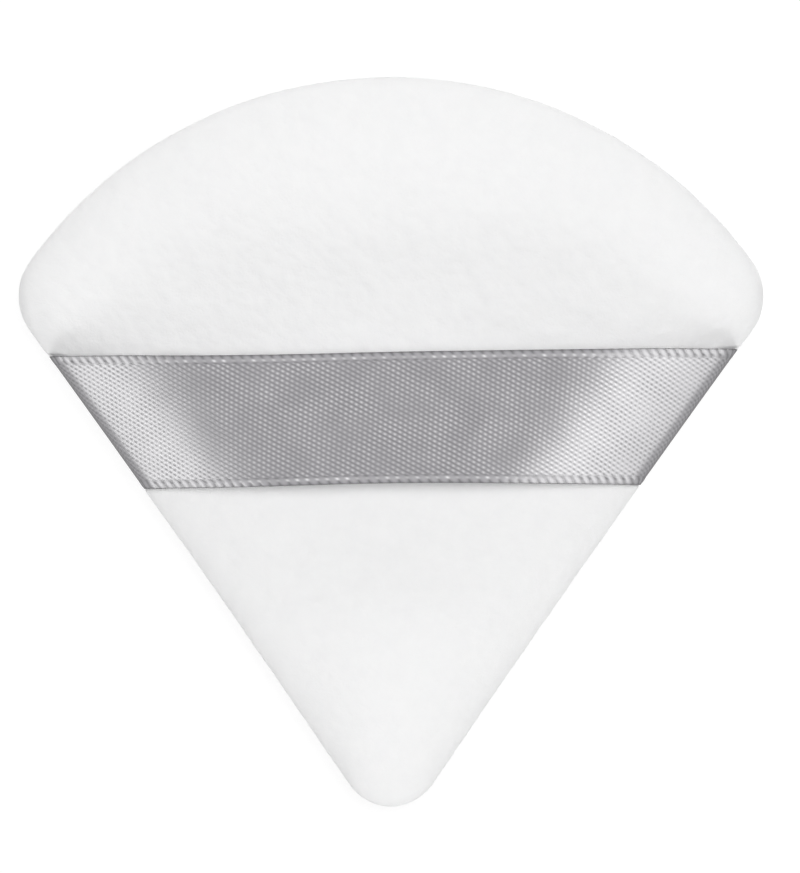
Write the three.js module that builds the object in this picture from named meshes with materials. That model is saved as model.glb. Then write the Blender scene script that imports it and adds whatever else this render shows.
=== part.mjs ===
// Fan-shaped powder puff: two velour panels sewn edge to edge over a foam core, with a satin
// ribbon finger strap arched over the back and caught in the two slanted side seams.
// Millimetres, +Z up. The puff lies on its powdering face with the strap on top, the point of
// the fan towards -Y. The origin is on the table, under the middle of the outline.

import * as THREE from 'three';

// Outline of the seam, seen from above
const PAD_WIDTH = 72;
const PAD_LENGTH = 70.5;
const ARC_RISE = 21.2; // top of the long curved edge, above the centres of the two corners
const CORNER_RADIUS = 5.7;
const TIP_RADIUS = 4.9;
const SIDE_DRAW_IN = 0.25; // how far the seam pulls a straight side in at its middle
const LEAST_FILLET = 0.4; // smallest corner left on an outline that lies further in

// Padding
const BACK_CROWN = 5.4; // seam plane up to the crown under the strap
const FACE_CROWN = 6.6; // seam plane down to the full depth of the powdering face
const REST_FLAT = 0.5; // depth to which the face is pressed flat where it rests
const CROWN_FLAT = 0.05; // depth of the level middle of the back
const VELOUR = 1.4; // thickness of the knit and its pile
const ALLOWANCE = 4; // seam allowance turned inside, measured from the seam
const FOAM_GAP = 0.4; // foam to the velour over it
const RIM_ROLL = 0.6; // round of the pile where a panel turns under to the seam

// Ribbon strap
const RIBBON_WIDTH = 13;
const RIBBON_THICKNESS = 0.2;
const RIBBON_OFFSET = 2.1; // centre line of the ribbon, from the middle of the outline
const RIBBON_TAIL = 3.4; // ribbon caught in the seam, square to it
const FINGER_GAP = 4.8; // crown of the back to the underside of the strap
const STRAP_RUN = 16; // seam to the level middle of the strap, square to the seam
const STRAP_POWER = 1.7; // roundness of the strap's rise: 2 is an ellipse, 1 a straight ramp
const FOLD_INSET = 12; // where a sewn end hands over to the middle that lifts

// Thread
const THREAD_RADIUS = 0.12;
const SEAM_INSET = 1; // machine seam, in from the edge
const CLOSING_INSET = 0.45; // hand stitches, in from the edge
const CLOSING_START = 6; // turning gap, along the right side from the tip
const CLOSING_LENGTH = 22;
const CLOSING_STITCHES = 9;
const TACK_INSET = 2.5; // middle of the tack on a ribbon tail, in from the edge
const TACK_SWING = 0.5;
const TACK_MARGIN = 1.2; // ribbon edge to the end of its tack
const TACK_STITCHES = 6;

const FIT_GAP = 0.3; // between pieces that lie on each other
const SEAM_FIT = 0.15; // between the layers pressed together in the seam

// Facets
const ARC_STEPS = 16;
const CORNER_STEPS = 6;
const SIDE_STEPS = 8;
const TIP_STEPS = 6;
const CROWN_STEPS = 8;
const ROLL_STEPS = 2;
const STRAP_STEPS = 10;
const THREAD_SIDES = 6;
const THREAD_STEP = 3; // length of one straight stretch of the machine seam

// The layers between the two turned-in edges, from the top: gap, ribbon, gap, thread, gap
const SEAM_HALF = (3 * SEAM_FIT + RIBBON_THICKNESS + 2 * THREAD_RADIUS) / 2;
const TAIL_TOP = SEAM_HALF - SEAM_FIT;
const TAIL_BOTTOM = TAIL_TOP - RIBBON_THICKNESS;
const THREAD_LEVEL = TAIL_BOTTOM - SEAM_FIT - THREAD_RADIUS;
const RIM_LEVEL = SEAM_HALF + RIM_ROLL; // where a panel is widest
const SEAM_Z = FACE_CROWN - REST_FLAT;

const materials = {
  velour: new THREE.MeshStandardMaterial({ color: 0xf3f2f1, roughness: 0.95, metalness: 0 }),
  foam: new THREE.MeshStandardMaterial({ color: 0xf4efdf, roughness: 1, metalness: 0 }),
  satin: new THREE.MeshStandardMaterial({ color: 0xa5a3a7, roughness: 0.42, metalness: 0 }),
  thread: new THREE.MeshStandardMaterial({ color: 0xeceae8, roughness: 0.7, metalness: 0 }),
};

const puff = new THREE.Group();

function addPiece(name, geometry, material) {
  const mesh = new THREE.Mesh(geometry, material);
  mesh.name = name;
  puff.add(mesh);
}

// The fan outline is a long arc over two corner circles and a tip circle, joined by the two
// straight sides that touch a corner circle and the tip circle.
function solveFan() {
  const top = PAD_LENGTH / 2;
  const corner = new THREE.Vector2(PAD_WIDTH / 2 - CORNER_RADIUS, top - ARC_RISE);
  const tip = new THREE.Vector2(0, TIP_RADIUS - top);
  const chord = corner.x ** 2 + ARC_RISE ** 2 - CORNER_RADIUS ** 2;
  const arcRadius = chord / (2 * (ARC_RISE - CORNER_RADIUS));
  const arcCentre = new THREE.Vector2(0, top - arcRadius);
  const between = corner.clone().sub(tip);
  const lean = Math.asin((CORNER_RADIUS - TIP_RADIUS) / between.length());
  const normalAngle = between.angle() - Math.PI / 2 - lean;
  const normal = new THREE.Vector2(Math.cos(normalAngle), Math.sin(normalAngle));
  const reach = corner.dot(normal) + CORNER_RADIUS; // side line: every point p with p.normal = reach
  const centreY = (top - reach) / (1 - normal.y); // as far from the arc as from the two sides
  const depth = top - centreY;
  return { arcRadius, arcCentre, normalAngle, normal, reach, centreY, depth };
}

const fan = solveFan();

// A point at height y that lies a given distance inside the right-hand side.
function insideRight(distance, y) {
  return (fan.reach - distance - fan.normal.y * y) / fan.normal.x;
}

// The outline moved inwards by inset, counter-clockwise from the tip, as its six curves.
function outlineCurves(inset) {
  const cornerFar = Math.max(CORNER_RADIUS, inset + LEAST_FILLET);
  const tipFar = Math.max(TIP_RADIUS, inset + LEAST_FILLET);
  const { normal, arcCentre } = fan;
  const up = new THREE.Vector2(-normal.y, normal.x);
  const across = fan.reach - cornerFar - arcCentre.dot(normal);
  const along = Math.sqrt((fan.arcRadius - cornerFar) ** 2 - across ** 2);
  const corner = arcCentre.clone().addScaledVector(normal, across).addScaledVector(up, along);
  const tipY = (fan.reach - tipFar) / normal.y;
  const cornerRadius = cornerFar - inset;
  const tipRadius = tipFar - inset;
  const sideFoot = new THREE.Vector2(0, tipY).addScaledVector(normal, tipRadius);
  const sideHead = corner.clone().addScaledVector(normal, cornerRadius);
  const sideMiddle = sideFoot.clone().lerp(sideHead, 0.5).addScaledVector(normal, -2 * SIDE_DRAW_IN);
  const mirrored = (point) => new THREE.Vector2(-point.x, point.y);
  const low = fan.normalAngle;
  const high = corner.clone().sub(arcCentre).angle();
  const arc = (x, y, radius, from, to) => new THREE.EllipseCurve(x, y, radius, radius, from, to);
  return [
    new THREE.QuadraticBezierCurve(sideFoot, sideMiddle, sideHead),
    arc(corner.x, corner.y, cornerRadius, low, high),
    arc(arcCentre.x, arcCentre.y, fan.arcRadius - inset, high, Math.PI - high),
    arc(-corner.x, corner.y, cornerRadius, Math.PI - high, Math.PI - low),
    new THREE.QuadraticBezierCurve(mirrored(sideHead), mirrored(sideMiddle), mirrored(sideFoot)),
    arc(0, tipY, tipRadius, Math.PI - low, 2 * Math.PI + low),
  ];
}

const OUTLINE_STEPS = [SIDE_STEPS, CORNER_STEPS, ARC_STEPS, CORNER_STEPS, SIDE_STEPS, TIP_STEPS];

function outlinePoints(inset) {
  return outlineCurves(inset).flatMap((curve, i) => curve.getPoints(OUTLINE_STEPS[i]).slice(0, -1));
}

// One ring: the outline shrunk towards the middle of the fan to a share of its size, at height z.
function ring(outline, share, z) {
  return outline.map((point) => {
    const y = fan.centreY + share * (point.y - fan.centreY);
    return new THREE.Vector3(share * point.x, y, z);
  });
}

function pole(z) {
  return [new THREE.Vector3(0, fan.centreY, z)];
}

// The crown of the pad follows share^4 + rise^2 = 1: full sides and a level middle. The levels
// run from a starting share in to where the crown is levelled off, flat deep below its top.
function crownLevels(base, height, flat, startShare = 1) {
  const start = Math.acos(startShare ** 2);
  const end = Math.asin(1 - flat / (height - base));
  return Array.from({ length: CROWN_STEPS + 1 }, (_, i) => {
    const angle = start + ((end - start) * i) / CROWN_STEPS;
    return { share: Math.sqrt(Math.cos(angle)), z: base + (height - base) * Math.sin(angle) };
  });
}

// Closed surface through rings of points listed from the top down, with a pole at each end.
function loft(rings) {
  const positions = [];
  const index = [];
  const starts = [];
  for (const points of rings) {
    starts.push(positions.length / 3);
    points.forEach((point) => positions.push(point.x, point.y, point.z));
  }
  for (let k = 0; k + 1 < rings.length; k += 1) {
    const upper = rings[k].length;
    const lower = rings[k + 1].length;
    for (let j = 0; j < Math.max(upper, lower); j += 1) {
      const a = starts[k] + (j % upper);
      const b = starts[k] + ((j + 1) % upper);
      const c = starts[k + 1] + (j % lower);
      const d = starts[k + 1] + ((j + 1) % lower);
      if (lower > 1) index.push(a, c, d);
      if (upper > 1) index.push(a, d, b);
    }
  }
  const geometry = new THREE.BufferGeometry();
  geometry.setAttribute('position', new THREE.Float32BufferAttribute(positions, 3));
  geometry.setIndex(index);
  return geometry;
}

// The same rings turned over about the seam plane.
function turnedOver(rings) {
  const lower = rings.map((points) => points.map((p) => new THREE.Vector3(p.x, p.y, -p.z)));
  return lower.reverse();
}

// The quarter round from the widest line of a panel down and in to the seam.
function rollRings() {
  return Array.from({ length: ROLL_STEPS }, (_, i) => {
    const angle = (Math.PI / 2) * ((i + 1) / ROLL_STEPS);
    const inset = RIM_ROLL * (1 - Math.cos(angle));
    return ring(outlinePoints(inset), 1, RIM_LEVEL - RIM_ROLL * Math.sin(angle));
  });
}

// A velour panel as sewn: crowned outside and inside, with its allowance folded flat under the rim.
function panelRings(crown, flat) {
  const rim = outlinePoints(0);
  const lining = outlinePoints(VELOUR);
  const fold = outlinePoints(ALLOWANCE);
  const foldTop = SEAM_HALF + VELOUR;
  const outside = crownLevels(RIM_LEVEL, crown, flat);
  const inside = crownLevels(foldTop, crown - VELOUR, flat);
  const outer = outside.map((level) => ring(rim, level.share, level.z));
  const inner = inside.map((level) => ring(lining, level.share, level.z));
  return [
    pole(outside.at(-1).z),
    ...outer.reverse(),
    ...rollRings(),
    ring(fold, 1, SEAM_HALF),
    ring(fold, 1, foldTop),
    ...inner,
    pole(inside.at(-1).z),
  ];
}

// Half of the foam: it follows the inside of a panel and stops short of the turned-in allowance.
function foamRings(crown, flat) {
  const lining = outlinePoints(VELOUR);
  const edgeShare = 1 - (ALLOWANCE + FIT_GAP - VELOUR) / (fan.depth - VELOUR);
  const levels = crownLevels(SEAM_HALF + VELOUR, crown - VELOUR, flat, edgeShare);
  const rings = levels.map((level) => ring(lining, level.share, level.z - FOAM_GAP));
  return [pole(levels.at(-1).z - FOAM_GAP), ...rings.reverse()];
}

// Height of the strap over the seam plane. Clear is how far its surface lies off the pad at the
// seam, and distance is measured square to the seam, from the edge of the pad.
function strapHeight(distance, clear) {
  const run = STRAP_RUN + clear;
  const share = THREE.MathUtils.clamp((STRAP_RUN - distance) / run, 0, 1);
  const rise = BACK_CROWN + FINGER_GAP - RIM_LEVEL + clear - FIT_GAP;
  return RIM_LEVEL + rise * (1 - share ** STRAP_POWER) ** (1 / STRAP_POWER);
}

// One face of a sewn end, from the seam to its inner end, spaced evenly round the bend.
function strapCurve(clear, end) {
  const last = Math.acos(((STRAP_RUN - end) / (STRAP_RUN + clear)) ** (STRAP_POWER / 2));
  return Array.from({ length: STRAP_STEPS + 1 }, (_, i) => {
    const share = Math.cos((last * i) / STRAP_STEPS) ** (2 / STRAP_POWER);
    const distance = STRAP_RUN - share * (STRAP_RUN + clear);
    return new THREE.Vector2(distance, strapHeight(distance, clear));
  });
}

const UNDERSIDE = FIT_GAP;
const TOPSIDE = FIT_GAP + RIBBON_THICKNESS;
const RIBBON_LOW = RIBBON_OFFSET - RIBBON_WIDTH / 2;
const RIBBON_HIGH = RIBBON_OFFSET + RIBBON_WIDTH / 2;

// Sewn end of the strap: its side view, from the tail between the panels up round the rim, carried
// across the ribbon and slanted to the seam.
function ribbonEnd() {
  const end = FOLD_INSET - FIT_GAP / 2;
  const profile = new THREE.Shape([
    new THREE.Vector2(RIBBON_TAIL, TAIL_TOP),
    new THREE.Vector2(-UNDERSIDE, TAIL_TOP),
    ...strapCurve(UNDERSIDE, end),
    ...strapCurve(TOPSIDE, end).reverse(),
    new THREE.Vector2(-TOPSIDE, TAIL_BOTTOM),
    new THREE.Vector2(RIBBON_TAIL, TAIL_BOTTOM),
  ]);
  const geometry = new THREE.ExtrudeGeometry(profile, { depth: RIBBON_WIDTH, bevelEnabled: false });
  const { x, y } = fan.normal;
  const foot = insideRight(0, RIBBON_LOW);
  const slant = new THREE.Matrix4().set(
    -1 / x, 0, -y / x, foot,
    0, 0, 1, RIBBON_LOW,
    0, 1, 0, 0,
    0, 0, 0, 1,
  );
  return geometry.applyMatrix4(slant);
}

// The left-hand copy of a right-hand piece, with its triangles turned to face out again.
function mirroredX(geometry) {
  const corners = geometry.getAttribute('position');
  const turned = [];
  for (let i = 0; i < corners.count; i += 3) {
    for (const k of [i, i + 2, i + 1]) turned.push(-corners.getX(k), corners.getY(k), corners.getZ(k));
  }
  const mirror = new THREE.BufferGeometry();
  mirror.setAttribute('position', new THREE.Float32BufferAttribute(turned, 3));
  return mirror;
}

// Middle of the strap, between the two fold lines: a loop of four points at each of its stations.
function ribbonCrown() {
  const start = FOLD_INSET + FIT_GAP / 2;
  const stations = Array.from({ length: 2 * STRAP_STEPS + 1 }, (_, i) => {
    const share = i / STRAP_STEPS - 1;
    const corner = (y, clear) => {
      const x = share * insideRight(start, y);
      const distance = fan.reach - fan.normal.y * y - fan.normal.x * Math.abs(x);
      return new THREE.Vector3(x, y, strapHeight(distance, clear));
    };
    return [
      corner(RIBBON_LOW, UNDERSIDE),
      corner(RIBBON_LOW, TOPSIDE),
      corner(RIBBON_HIGH, TOPSIDE),
      corner(RIBBON_HIGH, UNDERSIDE),
    ];
  });
  const middle = (points) => [points.reduce((sum, p) => sum.add(p), new THREE.Vector3()).divideScalar(4)];
  return loft([middle(stations[0]), ...stations, middle(stations.at(-1))]);
}

// A thread's line through space, as a function of t from 0 to 1.
class StitchLine extends THREE.Curve {
  constructor(pointAt) {
    super();
    this.pointAt = pointAt;
  }

  getPoint(t, target = new THREE.Vector3()) {
    return target.copy(this.pointAt(t));
  }
}

function threadAlong(pointAt, steps) {
  const section = new THREE.Shape().absarc(0, 0, THREAD_RADIUS, 0, 2 * Math.PI);
  const options = { steps, extrudePath: new StitchLine(pointAt), curveSegments: THREAD_SIDES / 2 };
  return new THREE.ExtrudeGeometry(section, { ...options, bevelEnabled: false });
}

// Swings evenly between -1 and 1, once to each side per stitch.
function zigzag(t, stitches) {
  return 1 - 4 * Math.abs(((t * stitches) % 1) - 0.5);
}

function seamPath(inset) {
  const path = new THREE.CurvePath();
  outlineCurves(inset).forEach((curve) => path.add(curve));
  return path;
}

// Machine seam: all round the edge but for the turning gap.
function edgeSeam() {
  const path = seamPath(SEAM_INSET);
  const total = path.getLength();
  const length = total - CLOSING_LENGTH;
  const pointAt = (t) => {
    const travelled = CLOSING_START + CLOSING_LENGTH + t * length;
    const point = path.getPoint((travelled / total) % 1);
    return new THREE.Vector3(point.x, point.y, THREAD_LEVEL);
  };
  return threadAlong(pointAt, Math.round(length / THREAD_STEP));
}

// Hand stitches that swing from one turned-in edge to the other, along the turning gap.
function closingStitches() {
  const path = seamPath(CLOSING_INSET);
  const total = path.getLength();
  const swing = SEAM_HALF - SEAM_FIT - THREAD_RADIUS;
  const pointAt = (t) => {
    const point = path.getPoint((CLOSING_START + t * CLOSING_LENGTH) / total);
    return new THREE.Vector3(point.x, point.y, swing * zigzag(t, CLOSING_STITCHES));
  };
  return threadAlong(pointAt, 2 * CLOSING_STITCHES);
}

// Zigzag across a ribbon tail, under it, along the seam.
function tack() {
  const low = RIBBON_LOW + TACK_MARGIN;
  const high = RIBBON_HIGH - TACK_MARGIN;
  const pointAt = (t) => {
    const y = low + t * (high - low);
    const distance = TACK_INSET + TACK_SWING * zigzag(t, TACK_STITCHES);
    return new THREE.Vector3(insideRight(distance, y), y, THREAD_LEVEL);
  };
  return threadAlong(pointAt, 2 * TACK_STITCHES);
}

const backRings = panelRings(BACK_CROWN, CROWN_FLAT);
const faceRings = turnedOver(panelRings(FACE_CROWN, REST_FLAT));
const coreRings = [...foamRings(BACK_CROWN, CROWN_FLAT), ...turnedOver(foamRings(FACE_CROWN, REST_FLAT))];

addPiece('face_panel', loft(faceRings), materials.velour);
addPiece('back_panel', loft(backRings), materials.velour);
addPiece('foam_core', loft(coreRings), materials.foam);
addPiece('ribbon_left_end', mirroredX(ribbonEnd()), materials.satin);
addPiece('ribbon_crown', ribbonCrown(), materials.satin);
addPiece('ribbon_right_end', ribbonEnd(), materials.satin);
addPiece('edge_seam_thread', edgeSeam(), materials.thread);
addPiece('closing_thread', closingStitches(), materials.thread);
addPiece('left_tacking_thread', mirroredX(tack()), materials.thread);
addPiece('right_tacking_thread', tack(), materials.thread);

puff.position.z = SEAM_Z;

export default puff;
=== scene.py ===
"""Fan-shaped powder puff: white velour over foam, with a grey satin ribbon finger strap."""

import bpy
import numpy as np
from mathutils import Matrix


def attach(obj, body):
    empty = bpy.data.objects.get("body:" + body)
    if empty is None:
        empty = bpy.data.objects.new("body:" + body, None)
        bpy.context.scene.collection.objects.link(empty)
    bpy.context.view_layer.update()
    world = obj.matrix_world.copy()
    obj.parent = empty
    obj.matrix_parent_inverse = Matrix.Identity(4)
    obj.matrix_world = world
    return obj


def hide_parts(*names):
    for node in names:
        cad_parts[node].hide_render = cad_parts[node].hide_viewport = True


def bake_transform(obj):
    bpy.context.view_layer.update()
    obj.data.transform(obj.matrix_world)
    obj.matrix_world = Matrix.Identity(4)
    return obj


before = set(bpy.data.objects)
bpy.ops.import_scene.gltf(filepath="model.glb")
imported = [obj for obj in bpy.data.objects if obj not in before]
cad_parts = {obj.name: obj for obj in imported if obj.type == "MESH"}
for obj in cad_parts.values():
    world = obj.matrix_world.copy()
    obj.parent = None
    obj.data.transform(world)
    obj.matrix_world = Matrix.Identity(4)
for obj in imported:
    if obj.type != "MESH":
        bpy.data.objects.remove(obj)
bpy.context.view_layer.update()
scene = bpy.context.scene

# Sizes in millimetres, as in the part's source. Heights are over the seam plane, at SEAM_Z.
MM = 0.001
PAD_WIDTH = 72.0
PAD_LENGTH = 70.5
ARC_RISE = 21.2
CORNER_RADIUS = 5.7
TIP_RADIUS = 4.9
SIDE_DRAW_IN = 0.25
BACK_CROWN = 5.4
FACE_CROWN = 6.6
REST_FLAT = 0.5
VELOUR = 1.4
ALLOWANCE = 4.0
FOAM_GAP = 0.4
RIBBON_WIDTH = 13.0
RIBBON_THICKNESS = 0.2
RIBBON_OFFSET = 2.1
RIBBON_TAIL = 3.4
FINGER_GAP = 4.8
STRAP_RUN = 16.0
FOLD_INSET = 12.0
THREAD_RADIUS = 0.12
SEAM_INSET = 1.0
CLOSING_INSET = 0.45
CLOSING_START = 6.0
CLOSING_LENGTH = 22.0
CLOSING_STITCHES = 9
TACK_INSET = 2.5
TACK_SWING = 0.5
TACK_MARGIN = 1.2
TACK_STITCHES = 6
FIT_GAP = 0.3
SEAM_HALF = 0.445
TAIL_LEVEL = 0.195
THREAD_LEVEL = -0.175
RIM_LEVEL = 1.045
SEAM_Z = FACE_CROWN - REST_FLAT

# Weave of the ribbon, measured along it and across it
WEAVE_STEPS = ((0.465, -0.262), (-0.489, -0.203))
WEAVE_SHIFT = 0.05
WEAVE_DEPTH = 0.045
DOT_SIZE = (0.16, 0.098)
GAP_SIZE = (0.2, 0.1)
GAP_DEPTH = 0.2
SELVEDGE = 0.82
LOOP_PITCH = 0.954
LOOP_LEAN = 0.5
LOOP_AT = 0.42
LOOP_REACH = 0.62
LOOP_HEIGHT = 0.045
LOOP_GAP = 0.02
# Painted light on the crest of each corded loop and painted shade in the gaps between loops
LOOP_LIGHT = 0.8
LOOP_SHADE = 0.48
# Painted shade towards the very edge of the ribbon
EDGE_SHADE = 0.65
EDGE_BLEND = 0.22
BEAD_AT = 0.55
BEAD_SIZE = (0.2, 0.14)
BEAD_HEIGHT = 0.02
BEAD_STRENGTH = 0.75
BEAD_SPREAD = 0.4
SATIN_RANGE = (0.78, 0.92)


def smoothstep(low, high, value):
    """0 up to low, 1 from high on, and the cubic 3t^2 - 2t^3 between them."""
    t = np.clip((value - low) / (high - low), 0.0, 1.0)
    return t * t * (3.0 - 2.0 * t)


def lattice_noise(points, cell, seed):
    """Smooth noise from -1 to 1: a random value at each corner of a cubic lattice, blended
    across a cell by 3t^2 - 2t^3 along each axis."""
    place = points / cell
    corner = np.floor(place).astype(np.int64)
    f = place - corner
    f = f * f * (3.0 - 2.0 * f)
    total = np.zeros(points.shape[:-1])
    for dx in (0, 1):
        for dy in (0, 1):
            for dz in (0, 1):
                x, y, z = (corner[..., k] + d for k, d in enumerate((dx, dy, dz)))
                key = (x * 73856093) ^ (y * 19349663) ^ (z * 83492791) ^ (seed * 2654435761)
                key = ((key ^ (key >> 15)) * 2246822519) & 0xFFFFFFFF
                key = ((key ^ (key >> 13)) * 3266489917) & 0xFFFFFFFF
                value = (key ^ (key >> 16)) / 2147483648.0 - 1.0
                weight = np.where(dx, f[..., 0], 1.0 - f[..., 0])
                weight = weight * np.where(dy, f[..., 1], 1.0 - f[..., 1])
                total += value * weight * np.where(dz, f[..., 2], 1.0 - f[..., 2])
    return total


def add_piece(name, points, *faces):
    """A mesh object from points in millimetres over the table and arrays of faces."""
    mesh = bpy.data.meshes.new(name)
    mesh.vertices.add(len(points))
    mesh.vertices.foreach_set("co", (points * MM).astype(np.float32).ravel())
    corners = np.concatenate([f.ravel() for f in faces])
    widths = np.concatenate([np.full(len(f), f.shape[1]) for f in faces])
    mesh.loops.add(len(corners))
    mesh.loops.foreach_set("vertex_index", corners.astype(np.int32))
    mesh.polygons.add(len(widths))
    starts = np.concatenate([[0], np.cumsum(widths)[:-1]])
    mesh.polygons.foreach_set("loop_start", starts.astype(np.int32))
    mesh.polygons.foreach_set("use_smooth", np.ones(len(widths), bool))
    mesh.update(calc_edges=True)
    mesh.validate()
    piece = bpy.data.objects.new(name, mesh)
    scene.collection.objects.link(piece)
    return piece


def add_attribute(piece, name, values):
    """One number for each point of a piece, for its material to read."""
    layer = piece.data.attributes.new(name, "FLOAT", "POINT")
    layer.data.foreach_set("value", values.astype(np.float32).ravel())


def add_uv(piece, name, along, across):
    """A UV map in metres: along the cloth, and across it."""
    layer = piece.data.uv_layers.new(name=name)
    corner = np.zeros(len(piece.data.loops), np.int32)
    piece.data.loops.foreach_get("vertex_index", corner)
    uv = np.stack([along.ravel(), across.ravel()], axis=1)[corner] * MM
    layer.data.foreach_set("uv", uv.astype(np.float32).ravel())


def grid_faces(rows, columns, wrap=False, first=0):
    """Quads between neighbours on a grid of points, with the last column joined to the first
    where the grid wraps round."""
    index = first + np.arange(rows * columns).reshape(rows, columns)
    if wrap:
        index = np.concatenate([index, index[:, :1]], axis=1)
    quads = [index[:-1, :-1], index[:-1, 1:], index[1:, 1:], index[1:, :-1]]
    return np.stack(quads, axis=-1).reshape(-1, 4)


def ring_to_pole(ring, pole):
    """Triangles from each edge of a closed ring of points to one point, the pole."""
    return np.stack([ring, np.roll(ring, -1), np.full(len(ring), pole)], axis=1)


def at_level(flat, level):
    """Points seen from above, given one height or a height each."""
    return np.column_stack([flat, np.broadcast_to(level, len(flat))])


# Outline


def solve_fan():
    """The side line and the middle of the fan: a long arc touches two corner circles from
    outside, and each straight side touches a corner circle and the tip circle."""
    top = PAD_LENGTH / 2
    corner = np.array([PAD_WIDTH / 2 - CORNER_RADIUS, top - ARC_RISE])
    tip = np.array([0.0, TIP_RADIUS - top])
    chord = corner[0] ** 2 + ARC_RISE**2 - CORNER_RADIUS**2
    arc_radius = chord / (2 * (ARC_RISE - CORNER_RADIUS))
    between = corner - tip
    lean = np.arcsin((CORNER_RADIUS - TIP_RADIUS) / np.hypot(*between))
    angle = np.arctan2(between[1], between[0]) - np.pi / 2 - lean
    normal = np.array([np.cos(angle), np.sin(angle)])
    reach = corner @ normal + CORNER_RADIUS
    middle = np.array([0.0, (top - reach) / (1 - normal[1])])
    return corner, tip, arc_radius, angle, normal, reach, middle


CORNER, TIP, ARC_RADIUS, SIDE_ANGLE, SIDE_NORMAL, SIDE_REACH, MIDDLE = solve_fan()


def inside_right(distance, y):
    """X of the point at height y that lies a distance inside the right-hand side line."""
    return (SIDE_REACH - distance - SIDE_NORMAL[1] * y) / SIDE_NORMAL[0]


def trace_outline(samples=600):
    """The fan outline counter-clockwise from the lowest point of the tip: tip arc, a side drawn
    in as a parabola, corner arc, long arc, and the same mirrored. Returns the distance round it,
    from 0 to 1, the points there, their outward normals and the length all round."""
    def arc(centre, radius, start, end):
        a = np.linspace(start, end, samples)[:-1]
        return centre + radius * np.stack([np.cos(a), np.sin(a)], axis=1)

    top = np.array([0.0, PAD_LENGTH / 2 - ARC_RADIUS])
    lift = np.arctan2(CORNER[1] - top[1], CORNER[0])
    foot = TIP + TIP_RADIUS * SIDE_NORMAL
    head = CORNER + CORNER_RADIUS * SIDE_NORMAL
    t = np.linspace(0, 1, samples)[:-1, None]
    side = foot + t * (head - foot) - SIDE_NORMAL * (4 * SIDE_DRAW_IN * t * (1 - t))
    right = np.concatenate([
        arc(TIP, TIP_RADIUS, -np.pi / 2, SIDE_ANGLE),
        side,
        arc(CORNER, CORNER_RADIUS, SIDE_ANGLE, lift),
        arc(top, ARC_RADIUS, lift, np.pi / 2),
    ])
    crest = np.array([[0.0, PAD_LENGTH / 2]])
    left = right[1:][::-1] * np.array([-1.0, 1.0])
    points = np.concatenate([right, crest, left, right[:1]])
    travelled = np.concatenate([[0], np.cumsum(np.hypot(*np.diff(points, axis=0).T))])
    slope = np.gradient(points, travelled, axis=0)
    normals = np.stack([slope[:, 1], -slope[:, 0]], axis=1)
    normals /= np.hypot(*normals.T)[:, None]
    return travelled / travelled[-1], points, normals, travelled[-1]


TRACE, TRACE_POINTS, TRACE_NORMALS, PERIMETER = trace_outline()


def outline_at(share, inset=0.0):
    """Points at a share of the way round the outline, moved in square to it by inset."""
    x, y = (np.interp(share, TRACE, TRACE_POINTS[:, k]) for k in (0, 1))
    nx, ny = (np.interp(share, TRACE, TRACE_NORMALS[:, k]) for k in (0, 1))
    return np.stack([x - inset * nx, y - inset * ny], axis=-1)


# Plan of the ribbon

PLAN_LEVEL = 2.13
PLAN_RISE = 0.27
PLAN_AT = -7.0
PLAN_RUN = 10.0
NECK_SPAN = 25.0
NECK_WIDTH = 0.962
NECK_LEAN = 0.012
NECK_FLARE = 0.034
PRESS_BLEND = (-0.3, 0.15)
PRESS_REACH = (0.3, 2.2)
RIBBON_SINK = 0.38
TAIL_CLEARANCE = 0.03


def ribbon_plan(x):
    """Seen from above, the ribbon's middle line climbs a little from left to right, as a tanh
    curve, and its width is least in the middle: a quadratic in X. Returns the line and the width
    as a share of the ribbon's."""
    line = PLAN_LEVEL + PLAN_RISE * np.tanh((x - PLAN_AT) / PLAN_RUN)
    u = np.clip(x / NECK_SPAN, -1, 1)
    return line, NECK_WIDTH + NECK_LEAN * u + NECK_FLARE * u**2


def side_draw(y):
    """How far the sides of the pad are drawn in at a height y."""
    t = np.clip((y - TIP[1]) / (CORNER[1] - TIP[1]), 0, 1)
    return 4 * SIDE_DRAW_IN * t * (1 - t)


def under_ribbon(points):
    """1 on the rim where the ribbon goes round it and 0 away from it, with a narrow blend."""
    x, y = points[..., 0], points[..., 1]
    line, width = ribbon_plan(x)
    inside = RIBBON_WIDTH / 2 * width - np.abs(y - line)
    inward = SIDE_REACH - side_draw(y) - np.abs(x) * SIDE_NORMAL[0] - y * SIDE_NORMAL[1]
    return smoothstep(*PRESS_BLEND, inside) * (1 - smoothstep(*PRESS_REACH, inward))


# Padding

PANEL_CELLS = 280
SETTLE_CELLS = 56
SETTLE_SCALE = 10.0
SETTLE_FRAMES = 20
SETTLE_LIMIT_BACK = 0.15
SETTLE_LIMIT_FACE = 0.35
SETTLE_PASSES = 6
SETTLE_HOLD = 0.84
PILE_LUMPS = ((3.2, 0.06), (1.3, 0.045), (0.55, 0.035))
PILE_THINNING = 0.5
PILE_THINS_FROM = 0.93
ROLL_DEPTH = 0.75
ROLL_END = 0.16
ROLL_ROWS = 5
ROLL_PILE = 0.5
LIP = 0.5
LIP_PILE = 0.2
LINING_STEP = 4
LINING_ROWS = 11
FLAT_EASE = 0.12
FLAT_RANGE = (-0.6, 0.3)
FOAM_PITS = 0.05
FOAM_CELL = 0.9


def square_grid(cells):
    """A square of cells taken as nested squares: how far out each point lies, from 0 to 1, and
    where round its square it is, from 0 to 1, starting at one corner."""
    line = np.linspace(-1, 1, cells + 1)
    s, t = np.meshgrid(line, line, indexing="ij")
    out = np.maximum(np.abs(s), np.abs(t))
    safe = np.where(out == 0, 1, out)
    u, v = s / safe, t / safe
    low, high = np.isclose(v, -1), np.isclose(v, 1)
    across = np.isclose(u, 1)
    round_it = np.select([low, across, high], [u + 1, v + 3, 5 - u], 7 - v)
    return out, np.mod(round_it / 8, 1.0)


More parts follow.
